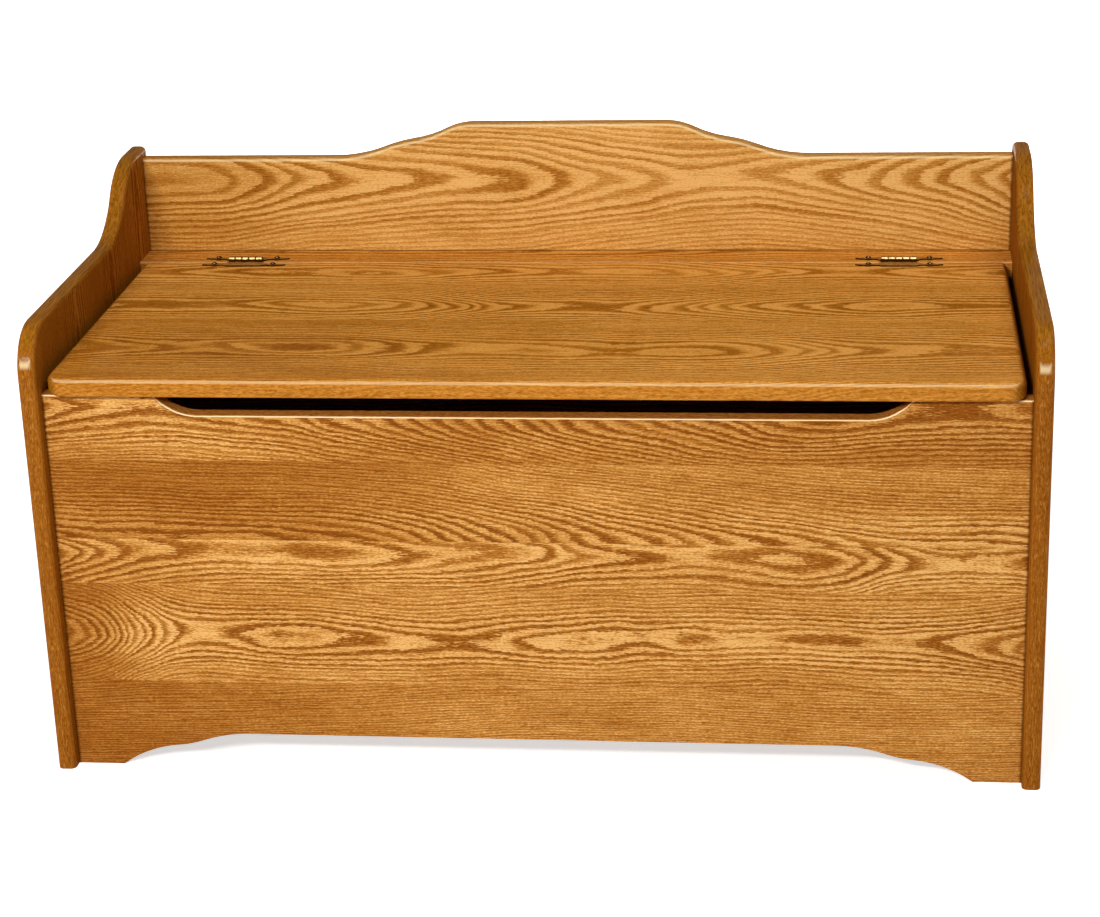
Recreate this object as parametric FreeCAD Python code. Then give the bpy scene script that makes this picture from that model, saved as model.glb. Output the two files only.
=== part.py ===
import FreeCAD, Part
import math
import os

from FreeCAD import Vector

# Toy box bench in solid oak: two shaped sides, a front with a finger pull and a scalloped apron,
# a crested back, a fixed rail behind the seat, and a lid on two ornamental hinges with slotted stays.
# Millimetres. The origin is on the floor under the middle of the box, +X is to the right as seen
# from the front, +Y to the back and +Z up.

# Carcass boards
width = 1040.0  # over the outer faces of the sides
depth = 490.0  # front edge to rear edge of the sides
board = 19.0  # planed thickness of every oak board
edge_round = 6.0  # rounding of the sides' exposed edges and the back's front edge
edge_bevel = 1.5  # easing of the rail's front edge and of edges that are out of sight

# Side panels: front edge, rounded corner, level arm, then an ogee up to the back
arm_height = 492.0
arm_corner = 50.0
ogee_foot_run = 86.0
ogee_head_run = 66.0
ogee_slope = 50.0  # steepest slope of the ogee, degrees
side_top_run = 39.0  # level stretch above the back panel

# Front panel: set back from the sides' front edges, finger pull on top, apron below
front_inset = 15.5
front_height = 420.0
front_round = 3.0
pull_margin = 113.0  # level top edge left at each end of the finger pull
pull_end_run = 42.0
pull_lip_run = 6.0
pull_slope = 48.0  # slope where the pull's end meets its lip, degrees
foot_length = 50.0
scallop_run = 62.0
scallop_slope = 37.0
shoulder_run = 28.0
shoulder_slope = 5.0
apron_run = 50.0
apron_slope = 19.5

# Back panel: level top with a crest in the middle
back_height = 552.0
back_foot_gap = 38.0  # its straight lower edge stays this far off the floor
crest_flat_half = 110.0
crest_head_run = 32.0
crest_head_slope = 26.0
crest_neck_run = 38.0
crest_neck_slope = 9.0
crest_hip_run = 36.0
crest_hip_slope = 21.0
crest_foot_run = 56.0

# Lid and the fixed rail behind it
lid_side_gap = 6.5
lid_front_inset = 3.0
lid_corner = 22.0
lid_top_round = 7.0
rail_depth = 47.0
seam_gap = 1.5
bumper_height = 2.0
bumper_radius = 5.0
bumper_inset = 50.0  # from the lid's end to the bumper's centre

# Bottom and cleats
cleat = 20.0  # square section of every cleat
cleat_level = 44.0  # underside of the bottom's cleats
bottom_thickness = 12.0
loose_fit = 0.5  # room at the ends of the cleats and round the bottom

# Loose tongues between the panels and the sides, in stopped grooves
tongue_thickness = 6.0
tongue_in_side = 9.0
tongue_in_panel = 14.0
tongue_stop = 45.0  # groove's end from the top and foot of an upright joint
rail_tongue_stop = 8.0  # the same on the rail's short joint

# Fits
snug = 0.05  # room round tongues, screws and pins
side_room = 0.3  # room beside moving faces

# Ornamental hinges
hinge_inset = 119.5  # from the lid's end to the middle of the hinge
hinge_length = 98.0
leaf_thickness = 1.5
leaf_width = 17.5
barrel_length = 40.0
barrel_radius = 3.25
knuckle_count = 5
knuckle_gap = 0.8
hinge_pin_radius = 1.4
hinge_pin_stand = 0.8  # how far the pin stands out of each end of the barrel
screw_span = 68.6  # between the two screws of one leaf
screw_row = 12.5  # from the pin to a row of screws
lobe_radius = 4.6
neck_half = 2.4
neck_setback = 4.0
spear_base_half = 1.4
spear_bulge = 1.2
leaf_waist = 1.6  # how far the leaf's ends are hollowed
hinge_screw_shank = 1.4
hinge_screw_head = 3.2
hinge_screw_rise = 2.2
hinge_screw_length = 13.0
head_sides = 12  # screw heads and bumpers have flat sides in place of a true circle
slim_sides = 8  # so do screw shanks, their holes and the bore of the knuckles

# Lid stays
lid_opening = 95.0  # degrees from shut to the end of the stay's slot
stay_reach = 139.0  # from the hinge pin to the stay's pivot, along the lid
stay_drop = 9.0  # pivot below the lid's underside
stay_spread = 40.0  # degrees at the hinge pin between the pivot and the stud, lid shut
stay_inset = 1.0  # from the lid's end to the heads of the rivets under it
arm_width = 14.0
arm_thickness = 2.0
arm_tail = 9.0
slot_room = 0.15
stud_radius = 2.9
stud_in_side = 12.0
stud_collar_radius = 5.0
stud_head_radius = 5.5
stud_head = 2.0
ear_thickness = 2.0
ear_width = 18.0
bracket_length = 40.0
bracket_depth = 26.0
bracket_screw_span = 26.0
bracket_screw_inset = 18.0  # from the ear's outer face to the screws
rivet_radius = 2.5
rivet_head_radius = 4.2
rivet_head = 1.5
stay_screw_shank = 1.6
stay_screw_head = 2.9
stay_screw_rise = 1.5
stay_screw_length = 12.0

# Places that follow from the sizes
x_inner = width / 2 - board
y_front = -depth / 2
y_rear = depth / 2
front_face = y_front + front_inset
front_inside = front_face + board
back_face = y_rear - board
lid_under = front_height + bumper_height
lid_top = lid_under + board
lid_half = x_inner - lid_side_gap
lid_front = y_front + lid_front_inset
rail_front = back_face - rail_depth
lid_rear = rail_front - seam_gap
pin_y = rail_front - seam_gap / 2
pin_z = lid_top + barrel_radius + side_room
bottom_level = cleat_level + cleat
hinge_x = lid_half - hinge_inset
panel_round = min(edge_round, 0.45 * board)
lid_round = min(lid_top_round, 0.45 * board)
ENDS = (-1, 1)


def arc_rise(run, slope_from, slope_to):
    """Radius and rise of the arc that turns from one slope to another over a level run."""
    start = math.radians(slope_from)
    end = math.radians(slope_to)
    radius = run / (math.sin(end) - math.sin(start))
    return radius, radius * (math.cos(start) - math.cos(end))


def total_rise(steps):
    """Height gained along a run of steps, each (run, slope where it starts, slope where it ends)."""
    return sum(arc_rise(*step)[1] for step in steps if step[1] != step[2])


def smooth_run(start, steps):
    """Segments of a smooth outline that starts at a point (u, v) and goes towards +u.

    A step with equal slopes is a level line. Any other is the arc from one slope to the next.
    """
    u, v = start
    segments = []
    for run, slope_from, slope_to in steps:
        if slope_from == slope_to:
            segments.append(((u, v), (u + run, v)))
        else:
            radius, rise = arc_rise(run, slope_from, slope_to)
            begin = math.radians(slope_from)
            middle = math.radians((slope_from + slope_to) / 2)
            half_way = (
                u + radius * (math.sin(middle) - math.sin(begin)),
                v + radius * (math.cos(begin) - math.cos(middle)),
            )
            segments.append(((u, v), half_way, (u + run, v + rise)))
        u, v = segments[-1][-1]
    return segments


def turned(segments):
    """The same segments walked the other way."""
    return [tuple(reversed(segment)) for segment in reversed(segments)]


def both_halves(segments):
    """A run that goes out from u = 0, and its mirror image before it, walked towards +u."""
    mirrored = [tuple((-u, v) for u, v in segment) for segment in segments]
    return turned(mirrored) + segments


def solid_from(segments, place, thickness):
    """Closes the segments with straight lines and gives the face they bound a thickness."""
    edges = []
    for number, segment in enumerate(segments):
        points = [place(u, v) for u, v in segment]
        if len(points) == 3:
            edges.append(Part.Arc(*points).toShape())
        else:
            edges.append(Part.makeLine(*points))
        after = place(*segments[(number + 1) % len(segments)][0])
        if after.distanceToPoint(points[-1]) > 1e-6:
            edges.append(Part.makeLine(points[-1], after))
    return Part.Face(Part.Wire(edges)).extrude(thickness)


def rounded(shape, radius, test):
    """Rounds the edges whose bounding box passes the test."""
    return shape.makeFillet(radius, [edge for edge in shape.Edges if test(edge.BoundBox)])


def eased(shape, test):
    """Takes the sharpness off the edges whose bounding box passes the test."""
    return shape.makeChamfer(edge_bevel, [edge for edge in shape.Edges if test(edge.BoundBox)])


def block(low, high):
    """A box between two corners."""
    size = [b - a for a, b in zip(low, high)]
    return Part.makeBox(*size, Vector(*low))


def rod(start, direction, radius, length):
    """A round rod or drill hole."""
    return Part.makeCylinder(radius, length, Vector(*start), Vector(*direction))


def slim_rod(radius, low, high, sides=slim_sides):
    """An upright rod or hole with few sides."""
    corners = []
    for number in range(sides + 1):
        turn = 2 * math.pi * number / sides
        corners.append(Vector(radius * math.cos(turn), radius * math.sin(turn), low))
    return Part.Face(Part.makePolygon(corners)).extrude(Vector(0, 0, high - low))


def flat_at(low, high, level):
    """True where a box side lies in the plane at that level."""
    return abs(low - level) < 1e-3 and abs(high - level) < 1e-3


# Joinery: a loose tongue crosses each joint between a side and the end of a panel
def tongues(low, high, room):
    """The tongues at both ends of a panel, or their grooves when given room.

    low and high are the corners (y, z) of a tongue's section in the plane of the joint.
    """
    pieces = []
    for end in ENDS:
        inside = end * (x_inner - tongue_in_panel - room)
        outside = end * (x_inner + tongue_in_side + room)
        x_low, x_high = sorted((inside, outside))
        pieces.append(
            block((x_low, low[0] - room, low[1] - room), (x_high, high[0] + room, high[1] + room))
        )
    return pieces


half_tongue = tongue_thickness / 2
front_middle = front_face + board / 2
back_middle = back_face + board / 2
rail_middle = lid_under + board / 2
tongue_sections = {
    "front_tongues": (
        (front_middle - half_tongue, tongue_stop),
        (front_middle + half_tongue, front_height - tongue_stop),
    ),
    "back_tongues": (
        (back_middle - half_tongue, back_foot_gap + tongue_stop),
        (back_middle + half_tongue, back_height - tongue_stop),
    ),
    "rail_tongues": (
        (rail_front + rail_tongue_stop, rail_middle - half_tongue),
        (back_face - rail_tongue_stop, rail_middle + half_tongue),
    ),
}
grooves = [groove for low, high in tongue_sections.values() for groove in tongues(low, high, snug)]


# Screws, built point down at the origin with the underside of the head at z = 0
def round_screw(shank, head, rise, length):
    """A round-head screw."""
    return slim_rod(head, 0.0, rise, head_sides).fuse(slim_rod(shank, -length, 0.0)).removeSplitter()


def screw_hole(shank, length):
    return slim_rod(shank + snug, -length - snug, 0.0)


def driven(screw, head_place, direction):
    """A screw driven from a place in the given direction."""
    turn = FreeCAD.Rotation(Vector(0, 0, -1), Vector(*direction))
    return screw.transformed(FreeCAD.Placement(Vector(*head_place), turn).toMatrix())


# Cleats: low corner and high corner of each
cleat_ends = x_inner - loose_fit
side_cleat_front = front_inside + cleat + loose_fit
side_cleat_rear = back_face - cleat - loose_fit
cleats = {
    "front_cleat": (
        (-cleat_ends, front_inside, cleat_level),
        (cleat_ends, front_inside + cleat, bottom_level),
    ),
    "rear_cleat": (
        (-cleat_ends, back_face - cleat, cleat_level),
        (cleat_ends, back_face, bottom_level),
    ),
    "left_cleat": (
        (-x_inner, side_cleat_front, cleat_level),
        (-x_inner + cleat, side_cleat_rear, bottom_level),
    ),
    "right_cleat": (
        (x_inner - cleat, side_cleat_front, cleat_level),
        (x_inner, side_cleat_rear, bottom_level),
    ),
    "rail_cleat": (
        (-cleat_ends, back_face - cleat, lid_under - cleat),
        (cleat_ends, back_face, lid_under),
    ),
}


# Hinges, built with the pin along X over the seam: local y runs from the pin onto the leaf's board
half_span = screw_span / 2
barrel_half = barrel_length / 2
leaf_inner = barrel_radius + side_room
pin_lift = pin_z - lid_top
knuckle_length = barrel_length / knuckle_count


def bowed(start, end, hollow):
    """An arc between two points of the leaf, hollowed to the left of the way from start to end."""
    run = math.dist(start, end)
    across = (-(end[1] - start[1]) / run, (end[0] - start[0]) / run)
    middle = [(a + b) / 2 + hollow * c for a, b, c in zip(start, end, across)]
    return (start, tuple(middle), end)


def leaf_blank():
    """The flat leaf: a plate beside the barrel, hollowed necks, screw lobes and spear tips."""
    up = Vector(0, 0, leaf_thickness)
    neck = half_span - neck_setback
    inner_end = bowed((barrel_half, leaf_inner), (neck, screw_row - neck_half), leaf_waist)
    outer_end = bowed((neck, screw_row + neck_half), (barrel_half, leaf_width), leaf_waist)
    right_side = [inner_end, outer_end]
    left_side = turned([tuple((-u, v) for u, v in segment) for segment in right_side])
    blank = solid_from(right_side + left_side, flat_place, up)
    for end in ENDS:
        lobe = rod((end * half_span, screw_row, 0), (0, 0, 1), lobe_radius, leaf_thickness)
        root = (end * half_span, screw_row - spear_base_half)
        other_root = (end * half_span, screw_row + spear_base_half)
        tip = (end * hinge_length / 2, screw_row)
        edges = [bowed(root, tip, -end * spear_bulge), bowed(tip, other_root, -end * spear_bulge)]
        blank = blank.fuse([lobe, solid_from(edges, flat_place, up)])
    for end in ENDS:
        hole = slim_rod(hinge_screw_shank + snug, 0.0, leaf_thickness)
        hole.translate(Vector(end * half_span, screw_row, 0))
        blank = blank.cut(hole)
    return blank.removeSplitter()


def flat_place(u, v):
    return Vector(u, v, 0)


def hinge_leaf(first_knuckle):
    """A leaf with every second knuckle of the barrel, from the first one given."""
    leaf = leaf_blank()
    for number in range(first_knuckle, knuckle_count, 2):
        start = -barrel_half + number * knuckle_length + knuckle_gap / 2
        length = knuckle_length - knuckle_gap
        knuckle = rod((start, 0, pin_lift), (1, 0, 0), barrel_radius, length)
        tab = block((start, 0, 0), (start + length, leaf_inner, leaf_thickness))
        leaf = leaf.fuse([knuckle, tab])
    bore = slim_rod((hinge_pin_radius + snug) / math.cos(math.pi / slim_sides), -barrel_half, barrel_half)
    along_pin = FreeCAD.Rotation(Vector(0, 0, 1), Vector(1, 0, 0))
    bore = bore.transformed(FreeCAD.Placement(Vector(0, 0, pin_lift), along_pin).toMatrix())
    return leaf.cut(bore).removeSplitter()


def hinge_pin():
    reach = barrel_half + hinge_pin_stand
    return rod((-reach, 0, pin_lift), (1, 0, 0), hinge_pin_radius, 2 * reach)


def over_seam(shape, x):
    """Sets a hinge piece over the seam, on top of the boards."""
    copy = shape.copy()
    copy.translate(Vector(x, pin_y, lid_top))
    return copy


rail_leaf = hinge_leaf(0)
lid_leaf = hinge_leaf(1).mirror(Vector(0, 0, 0), Vector(0, 1, 0))
hinge_screw = round_screw(hinge_screw_shank, hinge_screw_head, hinge_screw_rise, hinge_screw_length)
hinge_screw_hole = screw_hole(hinge_screw_shank, hinge_screw_length)


def at_hinge_screws(shape, row):
    """Copies of a screw, or of its hole, at every hinge's two places in one row."""
    copies = []
    for x in (-hinge_x, hinge_x):
        for end in ENDS:
            copy = shape.copy()
            copy.translate(Vector(x + end * half_span, pin_y + row, lid_top + leaf_thickness))
            copies.append(copy)
    return copies


# Lid stays: pivot and stud lie on one circle round the hinge pin, so the arm always turns half as
# far as the lid and the stud keeps to one straight slot
pivot_y = pin_y - stay_reach
pivot_z = lid_under - stay_drop
stay_circle = math.dist((pivot_y, pivot_z), (pin_y, pin_z))
stud_angle = math.atan2(pin_z - pivot_z, stay_reach) + math.radians(stay_spread)
stud_y = pin_y - stay_circle * math.cos(stud_angle)
stud_z = pin_z - stay_circle * math.sin(stud_angle)
shut_reach = 2 * stay_circle * math.sin(math.radians(stay_spread) / 2)
open_reach = 2 * stay_circle * math.sin(math.radians(stay_spread + lid_opening) / 2)
arm_way = ((stud_y - pivot_y) / shut_reach, (stud_z - pivot_z) / shut_reach)
arm_outer = lid_half - stay_inset - rivet_head - side_room
arm_inner = arm_outer - arm_thickness
ear_outer = arm_inner - side_room
ear_inner = ear_outer - ear_thickness
bracket_face = lid_under - ear_thickness


def along_arm(reach):
    """The point on the arm's middle line at a distance from the pivot, lid shut."""
    return (pivot_y + reach * arm_way[0], pivot_z + reach * arm_way[1])


def round_strip(start, end, half_width, low_x, high_x):
    """A flat strip with round ends, standing in the plane of the sides."""
    run = math.dist(start, end)
    way = ((end[0] - start[0]) / run, (end[1] - start[1]) / run)

    def corner(point, forward, aside):
        return (
            point[0] + half_width * (forward * way[0] - aside * way[1]),
            point[1] + half_width * (forward * way[1] + aside * way[0]),
        )

    outline = [
        (corner(start, 0, 1), corner(start, -1, 0), corner(start, 0, -1)),
        (corner(end, 0, -1), corner(end, 1, 0), corner(end, 0, 1)),
    ]
    return solid_from(outline, lambda u, v: Vector(low_x, u, v), Vector(high_x - low_x, 0, 0))


def stay_arm():
    """The slotted arm, with its pivot hole under the lid."""
    strip = round_strip(along_arm(0), along_arm(open_reach + arm_tail), arm_width / 2, arm_inner, arm_outer)
    slot = round_strip(
        along_arm(shut_reach), along_arm(open_reach), stud_radius + slot_room, arm_inner, arm_outer
    )
    hole = rod((arm_inner, pivot_y, pivot_z), (1, 0, 0), rivet_radius + snug, arm_thickness)
    return strip.cut([slot, hole])


def stay_stud():
    """The headed stud that the slot slides on, with a collar between the side panel and the arm."""
    head_face = arm_inner - side_room
    collar_face = arm_outer + side_room
    length = stud_in_side + x_inner - head_face
    stem = rod((head_face, stud_y, stud_z), (1, 0, 0), stud_radius, length)
    head = rod((head_face, stud_y, stud_z), (-1, 0, 0), stud_head_radius, stud_head)
    collar = rod((collar_face, stud_y, stud_z), (1, 0, 0), stud_collar_radius, x_inner - collar_face)
    return stem.fuse([head, collar]).removeSplitter()


def stud_hole():
    return rod((x_inner, stud_y, stud_z), (1, 0, 0), stud_radius + snug, stud_in_side + snug)


def bracket_screw_places():
    x = ear_outer - bracket_screw_inset
    return [(x, pivot_y + end * bracket_screw_span / 2) for end in ENDS]


def stay_bracket():
    """The angle bracket under the lid, with an ear for the rivet."""
    base = block(
        (ear_outer - bracket_depth, pivot_y - bracket_length / 2, bracket_face),
        (ear_outer, pivot_y + bracket_length / 2, lid_under),
    )
    ear = round_strip((pivot_y, pivot_z), (pivot_y, lid_under), ear_width / 2, ear_inner, ear_outer)
    above = block(
        (ear_inner, pivot_y - ear_width, lid_under), (ear_outer, pivot_y + ear_width, lid_under + ear_width)
    )
    holes = [rod((ear_inner, pivot_y, pivot_z), (1, 0, 0), rivet_radius + snug, ear_thickness)]
    holes += [driven(stay_screw_hole, (x, y, bracket_face), (0, 0, 1)) for x, y in bracket_screw_places()]
    return base.fuse(ear.cut(above)).cut(holes).removeSplitter()


def stay_rivet():
    """The rivet through ear and arm, peened flush inside the ear."""
    end = arm_outer + side_room
    stem = rod((ear_inner, pivot_y, pivot_z), (1, 0, 0), rivet_radius, end - ear_inner)
    head = rod((end, pivot_y, pivot_z), (1, 0, 0), rivet_head_radius, rivet_head)
    return stem.fuse(head).removeSplitter()


def opposite(shape):
    """The same piece on the other side of the box."""
    return shape.mirror(Vector(0, 0, 0), Vector(1, 0, 0))


stay_screw = round_screw(stay_screw_shank, stay_screw_head, stay_screw_rise, stay_screw_length)
stay_screw_hole = screw_hole(stay_screw_shank, stay_screw_length)


def at_bracket_screws(shape):
    right = [driven(shape, (x, y, bracket_face), (0, 0, 1)) for x, y in bracket_screw_places()]
    return right + [opposite(copy) for copy in right]


# Panels
def side_panel():
    """The right side, outlined in Y and Z and given its thickness outwards."""
    arm_level_run = depth - arm_corner - ogee_foot_run - ogee_head_run - side_top_run
    steps = [
        (arm_corner, 90.0, 0.0),
        (arm_level_run, 0.0, 0.0),
        (ogee_foot_run, 0.0, ogee_slope),
        (ogee_head_run, ogee_slope, 0.0),
        (side_top_run, 0.0, 0.0),
    ]
    top = smooth_run((y_front, arm_height - arm_corner), steps)
    outline = top + [((y_rear, 0.0), (y_front, 0.0))]
    panel = solid_from(outline, lambda u, v: Vector(x_inner, u, v), Vector(board, 0, 0))

    def exposed(box):
        on_floor = flat_at(box.ZMin, box.ZMax, 0.0)
        at_rear = flat_at(box.YMin, box.YMax, y_rear)
        return box.XLength < 1e-6 and not on_floor and not at_rear

    return rounded(panel, panel_round, exposed)


def front_panel():
    """The front, with the finger pull in its top edge and the apron along its foot."""
    pull = [
        (x_inner - pull_margin - pull_lip_run - pull_end_run, 0.0, 0.0),
        (pull_end_run, 0.0, pull_slope),
        (pull_lip_run, pull_slope, 0.0),
        (pull_margin, 0.0, 0.0),
    ]
    scallop = [
        (apron_run, 0.0, -apron_slope),
        (shoulder_run, -apron_slope, -shoulder_slope),
        (scallop_run, -shoulder_slope, -scallop_slope),
    ]
    apron_flat = x_inner - foot_length - sum(step[0] for step in scallop)
    apron = [(apron_flat, 0.0, 0.0)] + scallop
    lower = smooth_run((0.0, -total_rise(apron)), apron) + [((x_inner - foot_length, 0.0), (x_inner, 0.0))]
    upper = smooth_run((0.0, front_height - total_rise(pull)), pull)
    outline = both_halves(lower) + turned(both_halves(upper))
    panel = solid_from(outline, lambda u, v: Vector(u, front_face, v), Vector(0, board, 0))
    pull_floor = front_height - total_rise(pull)

    def top_edge(level):
        def test(box):
            along_top = box.ZMin > pull_floor - 1e-3 and box.XLength > 1e-6
            return along_top and flat_at(box.YMin, box.YMax, level)

        return test

    return eased(rounded(panel, front_round, top_edge(front_face)), top_edge(front_inside))


def back_panel():
    """The back, whose crest stands above the seat."""
    crest = [
        (crest_flat_half, 0.0, 0.0),
        (crest_head_run, 0.0, -crest_head_slope),
        (crest_neck_run, -crest_head_slope, -crest_neck_slope),
        (crest_hip_run, -crest_neck_slope, -crest_hip_slope),
        (crest_foot_run, -crest_hip_slope, 0.0),
    ]
    crest.append((x_inner - sum(step[0] for step in crest), 0.0, 0.0))
    lower = [((0.0, back_foot_gap), (x_inner, back_foot_gap))]
    upper = smooth_run((0.0, back_height - total_rise(crest)), crest)
    outline = both_halves(lower) + turned(both_halves(upper))
    panel = solid_from(outline, lambda u, v: Vector(u, back_face, v), Vector(0, board, 0))

    def top_edge(level):
        def test(box):
            along_top = box.ZMin > back_height - 1e-3 and box.XLength > 1e-6
            return along_top and flat_at(box.YMin, box.YMax, level)

        return test

    return eased(rounded(panel, panel_round, top_edge(back_face)), top_edge(y_rear))


def lid_panel():
    """The lid, with rounded front corners and every top edge but the rear one rounded over."""
    front = smooth_run((0.0, lid_front), [(lid_half - lid_corner, 0.0, 0.0), (lid_corner, 0.0, 90.0)])
    outline = both_halves(front) + [((lid_half, lid_rear), (-lid_half, lid_rear))]
    panel = solid_from(outline, lambda u, v: Vector(u, v, lid_under), Vector(0, 0, board))

    def rim(level):
        def test(box):
            at_rear = flat_at(box.YMin, box.YMax, lid_rear)
            return flat_at(box.ZMin, box.ZMax, level) and not at_rear

        return test

    return eased(rounded(panel, lid_round, rim(lid_top)), rim(lid_under))


def rail():
    """The fixed rail behind the lid, with its front top edge eased."""

    def at_seam(box):
        return flat_at(box.YMin, box.YMax, rail_front) and flat_at(box.ZMin, box.ZMax, lid_top)

    return eased(block((-x_inner, rail_front, lid_under), (x_inner, back_face, lid_top)), at_seam)


bottom_panel = block(
    (-x_inner + loose_fit, front_inside + loose_fit, bottom_level),
    (x_inner - loose_fit, back_face - loose_fit, bottom_level + bottom_thickness),
)
bumpers = []
for end in ENDS:
    bumper = slim_rod(bumper_radius, front_height, lid_under, head_sides)
    bumper.translate(Vector(end * (lid_half - bumper_inset), front_middle, 0))
    bumpers.append(bumper)

# Every piece with its holes, and groups of like pieces
right_side = side_panel().cut(grooves + [stud_hole()])
nodes = {
    "left_side_panel": opposite(right_side),
    "right_side_panel": right_side,
    "front_panel": front_panel().cut(grooves),
    "back_panel": back_panel().cut(grooves),
    "bottom_panel": bottom_panel,
    "hinge_rail": rail().cut(grooves + at_hinge_screws(hinge_screw_hole, screw_row)),
    "hinge_rail_screws": Part.makeCompound(at_hinge_screws(hinge_screw, screw_row)),
    "lid_panel": lid_panel().cut(
        at_hinge_screws(hinge_screw_hole, -screw_row) + at_bracket_screws(stay_screw_hole)
    ),
    "lid_bumpers": Part.makeCompound(bumpers),
    "hinge_lid_screws": Part.makeCompound(at_hinge_screws(hinge_screw, -screw_row)),
    "stay_bracket_screws": Part.makeCompound(at_bracket_screws(stay_screw)),
}
for name, (low, high) in cleats.items():
    nodes[name] = block(low, high)
for name, (low, high) in tongue_sections.items():
    nodes[name] = Part.makeCompound(tongues(low, high, 0.0))
for side, x in (("left", -hinge_x), ("right", hinge_x)):
    nodes[side + "_hinge_rail_leaf"] = over_seam(rail_leaf, x)
    nodes[side + "_hinge_lid_leaf"] = over_seam(lid_leaf, x)
    nodes[side + "_hinge_pin"] = over_seam(hinge_pin(), x)
for name, shape in (("stay_arm", stay_arm()), ("stay_bracket", stay_bracket())):
    nodes["right_" + name] = shape
    nodes["left_" + name] = opposite(shape)
for name, shape in (("stay_studs", stay_stud()), ("stay_rivets", stay_rivet())):
    nodes[name] = Part.makeCompound([shape, opposite(shape)])

os.makedirs("parts", exist_ok=True)
for name, shape in nodes.items():
    shape.exportStep("parts/" + name + ".step")
print("lid hinge pin at y %.3f z %.3f" % (pin_y, pin_z))
print("stay pivot at y %.3f z %.3f, arm x %.3f to %.3f" % (pivot_y, pivot_z, arm_inner, arm_outer))
print("stay stud at y %.3f z %.3f, slot %.2f to %.2f" % (stud_y, stud_z, shut_reach, open_reach))
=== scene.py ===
import math

import bmesh
import bpy
from mathutils import Matrix, Vector


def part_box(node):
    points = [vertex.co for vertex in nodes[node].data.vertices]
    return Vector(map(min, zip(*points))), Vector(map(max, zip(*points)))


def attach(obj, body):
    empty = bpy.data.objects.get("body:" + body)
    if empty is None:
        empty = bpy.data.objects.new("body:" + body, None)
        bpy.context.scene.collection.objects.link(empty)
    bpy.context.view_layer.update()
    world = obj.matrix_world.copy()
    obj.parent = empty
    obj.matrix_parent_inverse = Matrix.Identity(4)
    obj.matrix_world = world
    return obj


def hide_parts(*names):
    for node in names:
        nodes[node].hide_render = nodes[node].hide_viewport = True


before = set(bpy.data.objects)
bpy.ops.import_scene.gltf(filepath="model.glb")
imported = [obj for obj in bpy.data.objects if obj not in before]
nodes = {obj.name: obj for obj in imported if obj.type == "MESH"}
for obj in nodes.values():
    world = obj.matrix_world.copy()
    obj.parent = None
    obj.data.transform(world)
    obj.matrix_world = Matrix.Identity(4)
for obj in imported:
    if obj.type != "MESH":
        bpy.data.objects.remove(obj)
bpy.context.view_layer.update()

# Side panels: glued up from oak boards with the grain standing upright, sawn to the arm's curve,
# rounded over on both edges, stained golden and lacquered. The narrow front edges show the oak's pale
# rays, and the tops of the arms show end grain, which takes the stain darker.
MM = 0.001


def box_of(name):
    """A CAD piece's lowest and highest corners at rest, in millimetres."""
    return [Vector(round(side / MM, 2) for side in corner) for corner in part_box(name)]


side_low, side_high = box_of("left_side_panel")
SIDE_FRONT, SIDE_BACK = side_low.y, side_high.y
INSIDE = -side_high.x


def feed(tree, value, socket):
    """Feeds a socket from an earlier step of a finish, or sets it to a fixed value."""
    if isinstance(value, bpy.types.NodeSocket):
        tree.links.new(value, socket)
    elif value is not None:
        socket.default_value = value


def outputs_of(tree, kind, *feeds, **settings):
    """Adds a step to a finish, feeds its sockets in order and returns its outputs."""
    step = tree.nodes.new("ShaderNode" + kind)
    for key, value in settings.items():
        setattr(step, key, value)
    for socket, value in zip(step.inputs, feeds):
        feed(tree, value, socket)
    return step.outputs


def finish_step(tree, kind, *feeds, **settings):
    return outputs_of(tree, kind, *feeds, **settings)[0]


def parts_of(tree, vector):
    return outputs_of(tree, "SeparateXYZ", vector)


def length_of(tree, vector):
    return outputs_of(tree, "VectorMath", vector, operation="LENGTH")["Value"]


def reckon(tree, operation, *feeds):
    return finish_step(tree, "Math", *feeds, operation=operation)


def times(tree, first, second):
    return reckon(tree, "MULTIPLY", first, second)


def plus(tree, base, value, amount=1.0):
    """The base and so much of a value."""
    return reckon(tree, "MULTIPLY_ADD", value, amount, base)


def ease(tree, value, low, high, start=0.0, end=1.0):
    """Goes smoothly from start to end while the value goes from low to high."""
    return finish_step(
        tree, "MapRange", value, low, high, start, end, interpolation_type="SMOOTHSTEP")


def blend(tree, share, first, second, mode="MIX"):
    """Blends the second colour over the first."""
    no_numbers = (None,) * 5
    settings = {"data_type": "RGBA", "blend_type": mode}
    return outputs_of(tree, "Mix", share, *no_numbers, first, second, **settings)[2]


def mottle(tree, place, along, across, detail=0.0):
    """Uneven patches, so many millimetres long with the grain and wide across it, about 0.5."""
    size = (1 / along, 1 / across, 1 / across)
    patches = finish_step(tree, "VectorMath", place, size, operation="MULTIPLY")
    scale, roughness = 1.0, 0.5
    return finish_step(tree, "TexNoise", patches, None, scale, detail, roughness)


def ripple(tree, place, along, across, detail=0.0):
    """The same patches, about zero."""
    return reckon(tree, "SUBTRACT", mottle(tree, place, along, across, detail), 0.5)


def stained(tree, share, pale, dark):
    """Stain works like a filter: where it is thicker, the colour is deeper as well as darker."""
    full = blend(tree, 1.0, dark, pale, "DIVIDE")
    return blend(tree, 1.0, finish_step(tree, "Gamma", full, share), pale, "MULTIPLY")


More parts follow.
